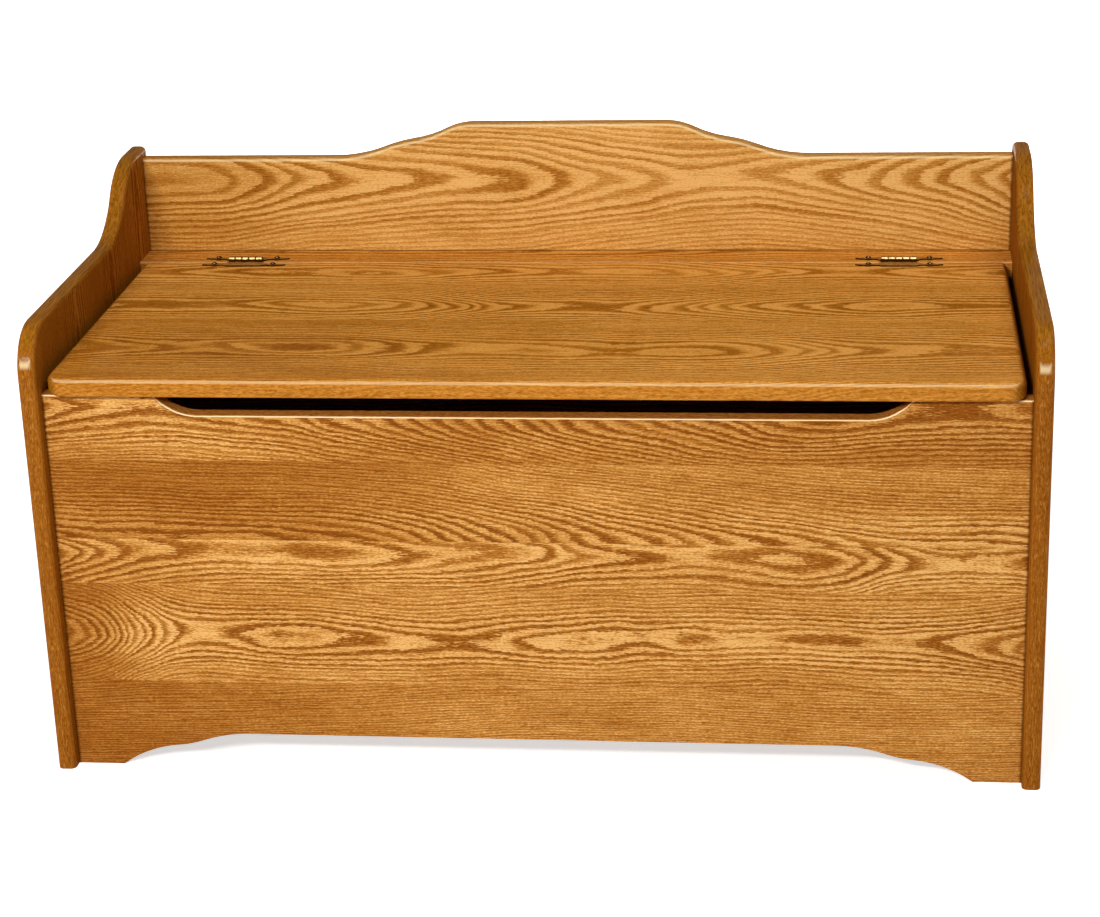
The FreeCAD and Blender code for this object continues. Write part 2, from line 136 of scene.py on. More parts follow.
def oak_figure():
    """The figure of flat-sawn oak, cut out of a trunk with yearly rings.

    Place is in millimetres along the grain, across the face and behind the face. Heart is the trunk's
    middle across the face, its depth behind the face, and the board's number. Swell is how much wider
    the trunk is here than elsewhere, which draws the rings out into points and islands on the face.
    Ring is a year's growth and Wander is how far the rings bend, all in millimetres.
    """
    tree = bpy.data.node_groups.new("oak_figure", "ShaderNodeTree")
    for name, kind in (
        ("Place", "Vector"), ("Heart", "Vector"), ("Swell", "Float"), ("Ring", "Float"),
        ("Wander", "Float"), ("Tone", "Float"), ("Contrast", "Float"), ("Pale", "Color"),
        ("Dark", "Color"),
    ):
        tree.interface.new_socket(name, in_out="INPUT", socket_type="NodeSocket" + kind)
    for name, kind in (("Colour", "Color"), ("Roughness", "Float"), ("Height", "Float")):
        tree.interface.new_socket(name, in_out="OUTPUT", socket_type="NodeSocket" + kind)
    given = tree.nodes.new("NodeGroupInput").outputs
    result = tree.nodes.new("NodeGroupOutput").inputs
    along, across, behind = parts_of(tree, given["Place"])
    middle, depth, number = parts_of(tree, given["Heart"])

    # each board comes from a stretch of trunk of its own
    boards_apart = 2371.0
    own_along = plus(tree, along, number, boards_apart)
    own = finish_step(tree, "CombineXYZ", own_along, across, behind)

    # distance from the trunk's middle, which sways across the board
    sway = ripple(tree, own, along=420.0, across=4000.0)
    aside = plus(tree, reckon(tree, "SUBTRACT", across, middle), sway, amount=22.0)
    deep = reckon(tree, "ADD", behind, depth)
    radius = length_of(tree, finish_step(tree, "CombineXYZ", aside, deep, 0.0))

    # rings are bold where the face cuts them flat, and quiet where it cuts them at a slant
    slant = reckon(tree, "DIVIDE", reckon(tree, "ABSOLUTE", aside), radius)
    bold = ease(tree, slant, low=0.70, high=0.97, start=1.0, end=0.50)

    # rings narrow toward the bark, and bend, wave and ripple on their way along the board
    narrowing = 1.0 / 260.0
    crowding = reckon(tree, "MULTIPLY_ADD", radius, narrowing, 1.0)
    radius = reckon(tree, "ADD", times(tree, radius, crowding), given["Swell"])
    bends = ripple(tree, own, along=260.0, across=400.0)
    waves = ripple(tree, own, along=120.0, across=36.0)
    ripples = ripple(tree, own, along=40.0, across=9.0, detail=1.0)
    for shift, reach in ((bends, given["Wander"]), (waves, 10.0), (ripples, 3.4)):
        radius = plus(tree, radius, shift, reach)

    # good years and poor ones: some rings are wider, and their edges are ragged where pores crowd
    some_years = reckon(tree, "DIVIDE", radius, 13.0)
    years = finish_step(tree, "CombineXYZ", some_years, times(tree, number, 61.0), 0.5)
    uneven = ripple(tree, years, along=1.0, across=1.0, detail=1.0)
    radius = plus(tree, radius, uneven, amount=7.0)
    ragged = ripple(tree, own, along=9.0, across=1.1, detail=1.0)
    radius = plus(tree, radius, ragged, amount=4.0)

    # a ring starts with dark spring wood, fades to pale summer wood, and is stronger in some years
    age = reckon(tree, "DIVIDE", radius, given["Ring"])
    ring = reckon(tree, "FRACT", age)
    fading = ease(tree, ring, low=0.22, high=0.60, start=1.0, end=0.0)
    starting = ease(tree, ring, low=0.94, high=1.0)
    spring_wood = reckon(tree, "MAXIMUM", fading, starting)
    early_start = 0.04
    this_year = reckon(tree, "FLOOR", reckon(tree, "ADD", age, early_start))
    lengthwise = reckon(tree, "DIVIDE", along, 330.0)
    year = finish_step(tree, "CombineXYZ", this_year, times(tree, number, 29.0), lengthwise)
    strength = mottle(tree, year, along=1.7, across=1.0)
    strong = ease(tree, strength, low=0.34, high=0.60, start=0.60, end=1.0)
    spring_wood = times(tree, spring_wood, times(tree, strong, bold))

    # open pores: short dark dashes along the grain, crowded in the spring wood
    dashes = ease(tree, mottle(tree, own, along=9.0, across=0.85, detail=2.0), low=0.40, high=0.60)
    pores = ease(tree, mottle(tree, own, along=4.5, across=0.34, detail=1.0), low=0.53, high=0.64)
    streaks = ease(tree, mottle(tree, own, along=30.0, across=1.6, detail=2.0), low=0.35, high=0.70)
    specks = ripple(tree, own, along=3.4, across=1.3, detail=1.0)
    between_dashes = 0.50
    crowded = times(tree, spring_wood, reckon(tree, "MULTIPLY_ADD", dashes, 0.45, between_dashes))
    dark = plus(tree, crowded, pores, amount=0.20)
    dark = plus(tree, dark, streaks, amount=0.24)
    dark = plus(tree, dark, specks, amount=0.80)

    # quiet wood is made up to the depth of bold wood; then come the board's own tone, darker wood near
    # a branch, and cloudy patches where the stain took unevenly
    made_up = 0.30
    dark = plus(tree, reckon(tree, "ADD", dark, made_up), bold, amount=-made_up)
    dark = reckon(tree, "ADD", dark, given["Tone"])
    by_branch = ease(tree, given["Swell"], low=-15.0, high=40.0, start=0.34, end=0.0)
    dark = reckon(tree, "ADD", dark, by_branch)
    clouds = ripple(tree, own, along=150.0, across=42.0, detail=2.0)
    dark = plus(tree, dark, clouds, amount=0.45)
    depth_of_stain, lightened = 0.94, -0.05
    dark = reckon(tree, "MULTIPLY_ADD", dark, depth_of_stain, lightened)
    dark = finish_step(tree, "Clamp", times(tree, dark, given["Contrast"]), 0.0, 1.0)
    feed(tree, stained(tree, dark, given["Pale"], given["Dark"]), result["Colour"])

    # lacquer lies smooth on the summer wood and sinks into the pores
    smooth = 0.36
    feed(tree, reckon(tree, "MULTIPLY_ADD", crowded, 0.16, smooth), result["Roughness"])
    hollows = plus(tree, crowded, pores, amount=0.4)
    feed(tree, times(tree, hollows, -1.0), result["Height"])
    return tree


oak = oak_figure()
OAK_PALE = (0.800, 0.445, 0.145, 1.0)
OAK_DARK = (0.205, 0.052, 0.003, 1.0)
RAY_PALE = (0.700, 0.350, 0.070, 1.0)
# the pale colour painted as a highlight on upturned rounded edges and as a glint on steep corners
PAINTED_HIGHLIGHT = (1.000, 0.800, 0.450, 1.0)
END_PALE = (0.390, 0.145, 0.010, 1.0)
END_DARK = (0.190, 0.062, 0.000, 1.0)
# the dark colour painted as shade along joints
PAINTED_JOINT_SHADE = (0.050, 0.016, 0.001, 1.0)
GRAIN_RUN = 1200.0
TRUNK_RUN = 1000.0
SWELL_RUN = 100.0


def taper(first, last):
    """A trunk that swells evenly from one end of the boards to the other."""
    return (-GRAIN_RUN / 2, first), (GRAIN_RUN / 2, last)


def board(start, heart, depth, number, swell=taper(0.0, 0.0), tone=0.0, ring=5.4, wander=14.0):
    """One board of a glued-up panel: where it starts across the panel, and its piece of the trunk.

    swell lists places along the grain and how much wider the trunk is there. Heart, depth and tone are
    kept half a run up, because a board's numbers can't be below zero.
    """
    return {
        "start": start,
        "trunk": (heart / TRUNK_RUN + 0.5, depth / TRUNK_RUN + 0.5, number, 1.0),
        "nature": (tone + 0.5, ring, wander, 1.0),
        "swell": swell,
    }


def swell_curve(tree, along, points):
    """Runs smoothly through the listed places along the grain."""
    step = tree.nodes.new("ShaderNodeFloatCurve")
    step.mapping.use_clip = False
    line = step.mapping.curves[0]
    while len(line.points) < len(points):
        line.points.new(0.5, 0.5)
    for point, (place, swell) in zip(line.points, points):
        point.location = (place / GRAIN_RUN + 0.5, swell / SWELL_RUN)
    step.mapping.update()
    feed(tree, along, step.inputs["Value"])
    return times(tree, step.outputs[0], SWELL_RUN)


def ramp_of(tree, share, starts, numbers):
    """Gives each board of a panel its own numbers."""
    step = tree.nodes.new("ShaderNodeValToRGB")
    step.color_ramp.interpolation = "CONSTANT"
    stops = step.color_ramp.elements
    while len(stops) < len(starts):
        stops.new(1.0)
    while len(stops) > len(starts):
        stops.remove(stops[-1])
    for stop, start, given in zip(stops, starts, numbers):
        stop.position = start
        stop.color = given
    feed(tree, share, step.inputs[0])
    return step.outputs["Color"]


def pick_board(tree, grain_axis, across_axis, across, boards):
    """Which board of a panel a spot lies in, and what piece of the trunk that was."""
    first, last = across
    share = finish_step(tree, "MapRange", across_axis, first * MM, last * MM, 0.0, 1.0)
    starts = [(one["start"] - first) / (last - first) for one in boards]
    trunk = ramp_of(tree, share, starts, [one["trunk"] for one in boards])
    unpack = (TRUNK_RUN, TRUNK_RUN, 1.0), (-TRUNK_RUN / 2, -TRUNK_RUN / 2, 0.0)
    heart = finish_step(tree, "VectorMath", trunk, *unpack, operation="MULTIPLY_ADD")
    nature = ramp_of(tree, share, starts, [one["nature"] for one in boards])
    tone, ring, wander = parts_of(tree, nature)
    tone = reckon(tree, "SUBTRACT", tone, 0.5)
    half_run = GRAIN_RUN / 2 * MM
    along = finish_step(tree, "MapRange", grain_axis, -half_run, half_run, 0.0, 1.0)
    just_before = 1e-4
    swell = 0.0
    for start, one in zip(starts, boards):
        here = reckon(tree, "GREATER_THAN", share, start - just_before)
        change = reckon(tree, "SUBTRACT", swell_curve(tree, along, one["swell"]), swell)
        swell = reckon(tree, "MULTIPLY_ADD", here, change, swell)
    return {"Heart": heart, "Swell": swell, "Ring": ring, "Wander": wander, "Tone": tone}


def saw_edges(tree, colour, place, on_edge, on_end, pale, dark):
    """Specks and pale ray flecks on the boards' edges, and end grain that drinks the stain."""
    specks = ease(tree, mottle(tree, place, along=5.0, across=1.2, detail=2.0), low=0.40, high=0.66)
    between_specks = 0.36
    stain = reckon(tree, "MULTIPLY_ADD", specks, 0.50, between_specks)
    speckled_share, fleck_share, end_share = 0.70, 0.28, 0.88
    colour = blend(
        tree, times(tree, on_edge, speckled_share), colour, stained(tree, stain, pale, dark))
    flecks = ease(tree, mottle(tree, place, along=8.0, across=1.6, detail=1.0), low=0.58, high=0.68)
    flecks = times(tree, times(tree, flecks, on_edge), fleck_share)
    colour = blend(tree, flecks, colour, RAY_PALE)
    saw_marks = (0.25, 0.025, 0.6)
    sawn = finish_step(tree, "VectorMath", place, saw_marks, operation="MULTIPLY")
    scale, detail, roughness = 1.0, 3.0, 0.6
    end_rings = finish_step(tree, "TexNoise", sawn, None, scale, detail, roughness)
    end_colour = blend(tree, ease(tree, end_rings, low=0.32, high=0.68), END_PALE, END_DARK)
    shown = times(tree, ease(tree, on_end, low=0.25, high=0.75), end_share)
    return blend(tree, shown, colour, end_colour)


def paint_highlights(tree, colour, upward, sideways, on_end, edge, corner):
    """Paints a highlight on the rounded edges that look up, and a glint on corners that tilt steeply up.
    """
    tilted = times(
        tree, ease(tree, upward, low=0.36, high=0.50),
        ease(tree, upward, low=0.72, high=0.84, start=1.0, end=0.0))
    edge_highlight = times(tree, tilted, ease(tree, on_end, low=0.40, high=0.62, start=edge, end=0.0))
    steep = times(
        tree, ease(tree, upward, low=0.16, high=0.27),
        ease(tree, upward, low=0.29, high=0.42, start=1.0, end=0.0))
    corner_glint = times(tree, steep, ease(tree, sideways, low=0.15, high=0.50, start=corner, end=0.0))
    return blend(tree, reckon(tree, "MAXIMUM", edge_highlight, corner_glint), colour, PAINTED_HIGHLIGHT)


def paint_joint_shade(tree, colour, spot, facing, place, reach):
    """Paints shade into the corner where a piece stands against the front face, only on faces that look
    to the front.
    """
    off = reckon(tree, "SUBTRACT", reckon(tree, "ABSOLUTE", spot), place * MM)
    near = ease(tree, reckon(tree, "ABSOLUTE", off), 0.0, reach * MM, start=1.0, end=0.0)
    on_front = ease(tree, facing, low=-0.9, high=-0.5, start=0.8, end=0.0)
    return blend(tree, times(tree, near, on_front), colour, PAINTED_JOINT_SHADE)


def new_finish(name):
    """Starts a finish: the material, its steps, its skin's sockets, and its places and facings."""
    made = bpy.data.materials.new(name)
    made.use_nodes = True
    tree = made.node_tree
    return made, tree, tree.nodes["Principled BSDF"].inputs, outputs_of(tree, "TexCoord")


def oak_panel(
    name, order, face, inward, across, boards, edge=0.0, corner=0.0, joints=(), gloss=0.07,
    contrast=1.0, pale=OAK_PALE, dark=OAK_DARK,
):
    """Lacquered oak for a panel glued up from boards.

    order names the axes along the grain, across the face and through the thickness. face is where the
    show face stands on the last one, and inward is which way the wood lies behind it, 1 or -1. across is
    where the panel starts and ends. edge and corner say how strong a highlight is painted on rounded
    edges that look up and a glint on corners that tilt steeply up. joints lists the axis, place and
    reach of each joint with painted shade. All lengths are in millimetres.
    """
    made, tree, skin, coordinates = new_finish(name)
    axes = parts_of(tree, coordinates["Object"])
    facing = parts_of(tree, coordinates["Normal"])
    grain_way, across_way, through_way = ("XYZ".index(letter) for letter in order)
    turned = finish_step(tree, "CombineXYZ", axes[grain_way], axes[across_way], axes[through_way])
    measure = (1 / MM, 1 / MM, inward / MM), (0.0, 0.0, -inward * face)
    place = finish_step(tree, "VectorMath", turned, *measure, operation="MULTIPLY_ADD")
    grain = tree.nodes.new("ShaderNodeGroup")
    grain.node_tree = oak
    feeds = pick_board(tree, axes[grain_way], axes[across_way], across, boards)
    feeds.update({"Place": place, "Contrast": contrast, "Pale": pale, "Dark": dark})
    for key, value in feeds.items():
        feed(tree, value, grain.inputs[key])
    on_edge = reckon(tree, "POWER", reckon(tree, "ABSOLUTE", facing[across_way]), 4.0)
    on_end = reckon(tree, "ABSOLUTE", facing[grain_way])
    sideways = reckon(tree, "ABSOLUTE", facing[through_way])
    colour = saw_edges(tree, grain.outputs["Colour"], place, on_edge, on_end, pale, dark)
    # painted highlight on upturned rounded edges and painted glint on steep corners
    colour = paint_highlights(tree, colour, facing[2], sideways, on_end, edge, corner)
    # painted shade along each joint
    for way, joint_at, reach in joints:
        colour = paint_joint_shade(tree, colour, axes[way], facing[1], joint_at, reach)
    pore_strength, pore_depth = 0.30, 0.1 * MM
    bumps = finish_step(tree, "Bump", pore_strength, pore_depth, None, grain.outputs["Height"])
    feed(tree, colour, skin["Base Color"])
    feed(tree, grain.outputs["Roughness"], skin["Roughness"])
    feed(tree, bumps, skin["Normal"])
    feed(tree, 0.0, skin["Specular IOR Level"])
    feed(tree, gloss, skin["Coat Weight"])
    feed(tree, 0.16, skin["Coat Roughness"])
    return made


def finish_with(material, *names):
    """Gives CAD pieces their finish."""
    for name in names:
        nodes[name].material_slots[0].material = material


# corner is the strength of the glint painted on the arms' steep corners
side_look = {
    "across": (SIDE_FRONT, SIDE_BACK), "corner": 0.55, "contrast": 0.85,
    "pale": (0.500, 0.205, 0.030, 1.0), "dark": (0.170, 0.040, 0.001, 1.0),
}
left_oak = oak_panel("left_side_oak", "ZYX", face=-INSIDE, inward=-1, **side_look, boards=[
    board(start=SIDE_FRONT, heart=-80.0, depth=24.0, number=0.13, swell=taper(-6.0, 6.0)),
    board(start=-30.0, heart=60.0, depth=26.0, number=0.59, swell=taper(12.0, -12.0)),
    board(start=130.0, heart=190.0, depth=24.0, number=0.81, swell=taper(-12.0, 12.0))])
right_oak = oak_panel("right_side_oak", "ZYX", face=INSIDE, inward=1, **side_look, boards=[
    board(start=SIDE_FRONT, heart=-70.0, depth=24.0, number=0.23, swell=taper(12.0, -12.0)),
    board(start=-20.0, heart=90.0, depth=24.0, number=0.69, swell=taper(-6.0, 6.0)),
    board(start=147.0, heart=200.0, depth=22.0, number=0.91, swell=taper(12.0, -12.0))])
finish_with(left_oak, "left_side_panel")
finish_with(right_oak, "right_side_panel")

# Front panel: five oak boards glued edge to edge with the grain lying level, then sawn with a finger
# pull along the top and a scalloped apron along the floor. It is held to the sides by loose tongues.
front_low, front_high = box_of("front_panel")
# shade is painted along front faces where the sides meet them
SIDE_JOINT = (0, INSIDE, 3.0)
front_oak = oak_panel(
    "front_oak", "XZY", face=front_low.y, inward=1, across=(front_low.z, front_high.z), edge=1.0,
    joints=[SIDE_JOINT], boards=[
        board(start=0.0, heart=172.0, depth=12.0, number=0.11, tone=0.04, swell=(
            (-600.0, -14.0), (-250.0, 14.0), (0.0, 36.0), (600.0, 44.0))),
        board(start=99.0, heart=155.0, depth=22.0, number=0.33, tone=0.03, swell=(
            (-520.0, -18.0), (-470.0, -4.0), (-410.0, 30.0), (-350.0, 46.0), (-250.0, 45.5),
            (-105.0, 53.0), (0.0, 47.0), (75.0, 43.0), (113.0, 45.0), (175.0, 43.0), (275.0, 46.5),
            (400.0, 44.0), (443.0, 40.0), (520.0, 24.0))),
        board(start=211.0, heart=248.0, depth=24.0, number=0.52, tone=0.04, swell=(
            (-520.0, -6.0), (-420.0, 27.0), (-280.0, 33.0), (-150.0, 38.0), (0.0, 48.0), (62.0, 56.0),
            (150.0, 58.0), (290.0, 60.0), (390.0, 80.0), (440.0, 82.0), (520.0, 66.0))),
        board(start=262.0, heart=258.0, depth=30.0, number=0.74, tone=0.08, swell=(
            (-520.0, 0.0), (-220.0, 6.0), (-150.0, 14.0), (0.0, 44.0), (170.0, 78.0), (300.0, 92.0),
            (520.0, 100.0))),
        board(start=349.0, heart=405.0, depth=30.0, number=0.95, tone=-0.10, swell=(
            (-520.0, -4.0), (-430.0, 6.0), (-300.0, 8.0), (-200.0, -8.0), (0.0, -50.0), (200.0, -92.0),
            (270.0, -101.0), (400.0, -100.0), (520.0, -104.0)))])
finish_with(front_oak, "front_panel")

# Back panel: wide oak boards glued up with the grain lying level, the crest band-sawn to a double ogee
# and its front edge rounded over. Loose tongues hold it to the sides.
back_low, back_high = box_of("back_panel")
SEAT_TOP = box_of("lid_panel")[1].z
# shade is painted along the back's front face where the seat meets it
SEAT_JOINT = (2, SEAT_TOP, 2.4)
back_oak = oak_panel(
    "back_oak", "XZY", face=back_low.y, inward=1, across=(back_low.z, back_high.z), edge=0.45,
    joints=[SEAT_JOINT, SIDE_JOINT], contrast=0.72, pale=(0.855, 0.500, 0.165, 1.0),
    dark=(0.235, 0.066, 0.004, 1.0), boards=[
        board(start=back_low.z, heart=130.0, depth=25.0, number=0.19),
        board(start=204.0, heart=280.0, depth=20.0, number=0.42),
        board(start=381.0, heart=526.0, depth=34.0, number=0.64, ring=8.4, wander=22.0, swell=(
            (-520.0, 0.0), (-420.0, 2.0), (-380.0, 10.0), (-260.0, 34.0), (-200.0, 36.0),
            (-100.0, 40.0), (0.0, 56.0), (80.0, 68.0), (160.0, 76.0), (314.0, 67.0), (374.0, 58.0),
            (444.0, 42.0), (520.0, 14.0)))])
finish_with(back_oak, "back_panel")

# Seat rail and lid: the rail is a narrow oak strip fixed behind the lid, and carries the hinges.
# The lid is glued up from oak boards, rounded over along its top edge, and lacquered like the rest.
LID_FRONT = box_of("lid_panel")[0].y
RAIL_BACK = box_of("hinge_rail")[1].y
seat_look = {
    "face": SEAT_TOP, "inward": -1, "across": (LID_FRONT, RAIL_BACK), "gloss": 0.03,
    "pale": (0.805, 0.375, 0.080, 1.0), "dark": (0.255, 0.070, 0.003, 1.0),
}
lid_oak = oak_panel("lid_oak", "XYZ", **seat_look, edge=0.30, contrast=0.92, boards=[
    board(start=LID_FRONT, heart=-137.0, depth=60.0, number=0.17, ring=6.0, wander=30.0, swell=(
        (-520.0, 0.0), (-400.0, 10.0), (-250.0, 12.0), (-100.0, 22.0), (0.0, 24.0), (100.0, 36.0),
        (220.0, 38.0), (350.0, 52.0), (520.0, 60.0))),
    board(start=-40.0, heart=10.0, depth=48.0, number=0.57, tone=-0.02, ring=6.0, wander=34.0, swell=(
        (-520.0, 30.0), (-200.0, 34.0), (-100.0, 50.0), (-40.0, 64.0), (40.0, 66.0), (120.0, 56.0),
        (200.0, 44.0), (300.0, 36.0), (520.0, 30.0))),
    board(start=90.0, heart=140.0, depth=50.0, number=0.79, tone=-0.06, ring=6.0, wander=34.0, swell=(
        (-520.0, 30.0), (-100.0, 34.0), (100.0, 40.0), (250.0, 56.0), (400.0, 60.0), (520.0, 56.0)))])
rail_oak = oak_panel("rail_oak", "XYZ", **seat_look, edge=0.22, contrast=0.9, boards=[
    board(start=LID_FRONT, heart=236.0, depth=60.0, number=0.29, tone=0.06, swell=taper(20.0, 42.0))])
finish_with(lid_oak, "lid_panel")
finish_with(rail_oak, "hinge_rail")

# Cleats and loose tongues: square strips and thin tongues of plain hardwood, planed and glued, out of
# sight once the box is shut.
strip_look = {
    "face": 0.0, "inward": 1, "across": (0.0, 600.0), "contrast": 0.6,
    "pale": (0.62, 0.36, 0.14, 1.0), "dark": (0.34, 0.16, 0.05, 1.0),
}
strip_wood = oak_panel("strip_wood", "XZY", **strip_look, boards=[
    board(start=0.0, heart=-40.0, depth=270.0, number=0.27)])
side_strip_wood = oak_panel("side_strip_wood", "YZX", **strip_look, boards=[
    board(start=0.0, heart=-40.0, depth=20.0, number=0.77)])
finish_with(strip_wood, "front_cleat", "rear_cleat", "rail_cleat")
finish_with(strip_wood, "front_tongues", "back_tongues", "rail_tongues")
finish_with(side_strip_wood, "left_cleat", "right_cleat")

# Bottom: a sheet of oak-faced plywood, sawn to fit between the four panels. It lies loose on the
# cleats, which hold it up along all four edges.
bottom_low, bottom_high = box_of("bottom_panel")
plywood = oak_panel(
    "plywood_face", "XYZ", face=bottom_high.z, inward=-1, across=(bottom_low.y, bottom_high.y),
    contrast=0.7, pale=(0.64, 0.36, 0.14, 1.0), dark=(0.36, 0.16, 0.05, 1.0), boards=[
        board(start=bottom_low.y, heart=-120.0, depth=25.0, number=0.36, swell=taper(-18.0, 18.0)),
        board(start=-20.0, heart=90.0, depth=25.0, number=0.62, swell=taper(-18.0, 18.0))])
finish_with(plywood, "bottom_panel")

# Hinges: stamped brass leaves with curled knuckles on a pin, blackened with an antique finish. A
# highlight is painted along the barrel and on the screw heads, and shade on faces that don't look up.
# Slotted round-head screws hold them down on the rail and the lid.
pin_low, pin_high = box_of("right_hinge_pin")
HINGE_X = (pin_low.x + pin_high.x) / 2
LEAF_TOP = SEAT_TOP + 1.5
BARREL_HALF = 20.0
KNUCKLE = 8.0
LEAF_DARK = (0.270, 0.120, 0.022, 1.0)
LEAF_PALE = (0.500, 0.250, 0.062, 1.0)
# the dark colour painted as shade on hinge faces that don't look up
PAINTED_LEAF_SHADE = (0.034, 0.007, 0.000, 1.0)
BLACKENED = (0.055, 0.013, 0.001, 1.0)
# the colour of the highlight painted on the barrel and screw heads
PAINTED_BRASS_HIGHLIGHT = (0.860, 0.580, 0.240, 1.0)


def in_millimetres(tree, vector):
    return finish_step(tree, "VectorMath", vector, (1 / MM,) * 3, operation="MULTIPLY")


def antique_brass():
    made, tree, skin, coordinates = new_finish("antique_brass_highlit")
    place = in_millimetres(tree, coordinates["Object"])
    across_seat, _, height = parts_of(tree, place)
    _, backward, upward = parts_of(tree, coordinates["Normal"])
    patches = mottle(tree, place, along=2.9, across=2.9, detail=3.0)
    leaf = blend(tree, ease(tree, patches, low=0.30, high=0.70), LEAF_DARK, LEAF_PALE)
    # painted shade on every face that doesn't look up
    bronze_and_shade = blend(tree, ease(tree, upward, low=0.75, high=0.95), PAINTED_LEAF_SHADE, leaf)

    # a highlight is painted on the barrel and screw heads where they face up and forward, but not in the
    # gaps between knuckles
    off_middle = reckon(tree, "ABSOLUTE", across_seat)
    along_barrel = reckon(tree, "SUBTRACT", off_middle, HINGE_X - BARREL_HALF)
    in_knuckle = reckon(tree, "FRACT", reckon(tree, "DIVIDE", along_barrel, KNUCKLE))
    from_middle = reckon(tree, "ABSOLUTE", reckon(tree, "SUBTRACT", in_knuckle, 0.5))
    forward_share, upward_share = 0.70, 0.714
    facing_highlight = plus(tree, times(tree, upward, upward_share), backward, amount=-forward_share)
    uneven = ripple(tree, place, along=3.0, across=3.0, detail=2.0)
    facing_highlight = plus(tree, facing_highlight, uneven, amount=0.16)
    off_gaps = ease(tree, from_middle, low=0.32, high=0.46, start=1.0, end=0.1)
    brass_highlight = times(tree, ease(tree, facing_highlight, low=0.90, high=0.99), off_gaps)
    brass_highlight = times(tree, brass_highlight, ease(tree, height, low=LEAF_TOP + 1.2, high=LEAF_TOP + 1.8))
    raised = ease(tree, height, low=LEAF_TOP, high=LEAF_TOP + 0.4)
    blackened_and_shaded = blend(tree, raised, bronze_and_shade, BLACKENED)
    smooth, under_finish = 0.30, 0.40
    feed(tree, blend(tree, brass_highlight, blackened_and_shaded, PAINTED_BRASS_HIGHLIGHT), skin["Base Color"])
    feed(tree, reckon(tree, "MULTIPLY_ADD", patches, 0.25, smooth), skin["Roughness"])
    feed(tree, ease(tree, brass_highlight, 0.0, 1.0, start=under_finish, end=1.0), skin["Metallic"])
    feed(tree, 0.0, skin["Specular IOR Level"])
    return made


brass = antique_brass()
for side in ("left", "right"):
    finish_with(brass, side + "_hinge_rail_leaf", side + "_hinge_lid_leaf", side + "_hinge_pin")


def turn(shape, profile, sides):
    """Turns a profile of (radius, height) points round the Z axis into a closed skin."""
    rings = []
    for radius, height in profile:
        angles = [2 * math.pi * side / sides for side in range(sides)] if radius else [0.0]
        spots = [(radius * math.cos(angle), radius * math.sin(angle), height) for angle in angles]
        rings.append([shape.verts.new(spot) for spot in spots])
    for low, high in zip(rings, rings[1:]):
        for side in range(sides):
            after = (side + 1) % sides
            corners = [low[side % len(low)], low[after % len(low)]]
            corners += [high[after % len(high)], high[side % len(high)]]
            shape.faces.new(list(dict.fromkeys(corners)))


def saw_slot(shape, half, floor):
    """Saws a driver's slot along Y into a turned head, down to the floor."""
    across, upright = (1, 0, 0), (0, 0, 1)
    for point, normal in (((half, 0, 0), across), ((-half, 0, 0), across), ((0, 0, floor), upright)):
        everything = shape.verts[:] + shape.edges[:] + shape.faces[:]
        bmesh.ops.bisect_plane(shape, geom=everything, plane_co=point, plane_no=normal)
    middles = [(face, face.calc_center_median()) for face in shape.faces]
    inside = [face for face, middle in middles if abs(middle.x) < half and middle.z > floor]
    bmesh.ops.delete(shape, geom=inside, context="FACES")
    near = half * 1e-3
    for wall in (half, -half):
        rim = [v for v in shape.verts if abs(v.co.x - wall) < near and v.co.z > floor - near]
        shape.faces.new(sorted(rim, key=lambda v: v.co.y))
    rim = [v for v in shape.verts if abs(v.co.z - floor) < near and abs(v.co.x) < half + near]
    shape.faces.new(sorted(rim, key=lambda v: math.atan2(v.co.y, v.co.x)))
    bmesh.ops.recalc_face_normals(shape, faces=shape.faces[:])


SHARP_EDGE = math.radians(38.0)


def place_copies(name, shape, places, material):
    """One piece made of copies of a shape, each turned and set in its place."""
    pattern = bpy.data.meshes.new(name + "_pattern")
    shape.to_mesh(pattern)
    shape.free()
    whole = bmesh.new()
    for matrix in places:
        first = len(whole.verts)
        whole.from_mesh(pattern)
        whole.verts.ensure_lookup_table()
        bmesh.ops.transform(whole, matrix=matrix, verts=whole.verts[first:])
    mesh = bpy.data.meshes.new(name)
    whole.to_mesh(mesh)
    whole.free()
    bpy.data.meshes.remove(pattern)
    mesh.shade_smooth()
    mesh.set_sharp_from_angle(angle=SHARP_EDGE)
    mesh.materials.append(material)
    piece = bpy.data.objects.new(name, mesh)
    bpy.context.scene.collection.objects.link(piece)
    return piece


def slotted_screw(head, rise, shank, length):
    """A round-head wood screw, point down, its head's seat at the origin. Sizes are in millimetres."""
    point = [(0.0, -1.0), (0.45, -0.86), (1.0, -0.62), (1.0, 0.0)]
    dome = [
        (0.97, 0.0), (1.0, 0.10), (0.95, 0.38), (0.80, 0.68), (0.55, 0.90), (0.28, 0.98), (0.0, 1.0)]
    profile = [(radius * shank * MM, height * length * MM) for radius, height in point]
    profile += [(radius * head * MM, height * rise * MM) for radius, height in dome]
    slot_half, slot_floor = 0.15 * head * MM, 0.42 * rise * MM
    shape = bmesh.new()
    turn(shape, profile, sides=28)
    saw_slot(shape, slot_half, slot_floor)
    return shape


HINGE_SCREW_HEAD = 3.2
HINGE_SCREW_SHANK = 1.4
SLOT_TURNS = (24.0, 118.0, -40.0, 71.0)


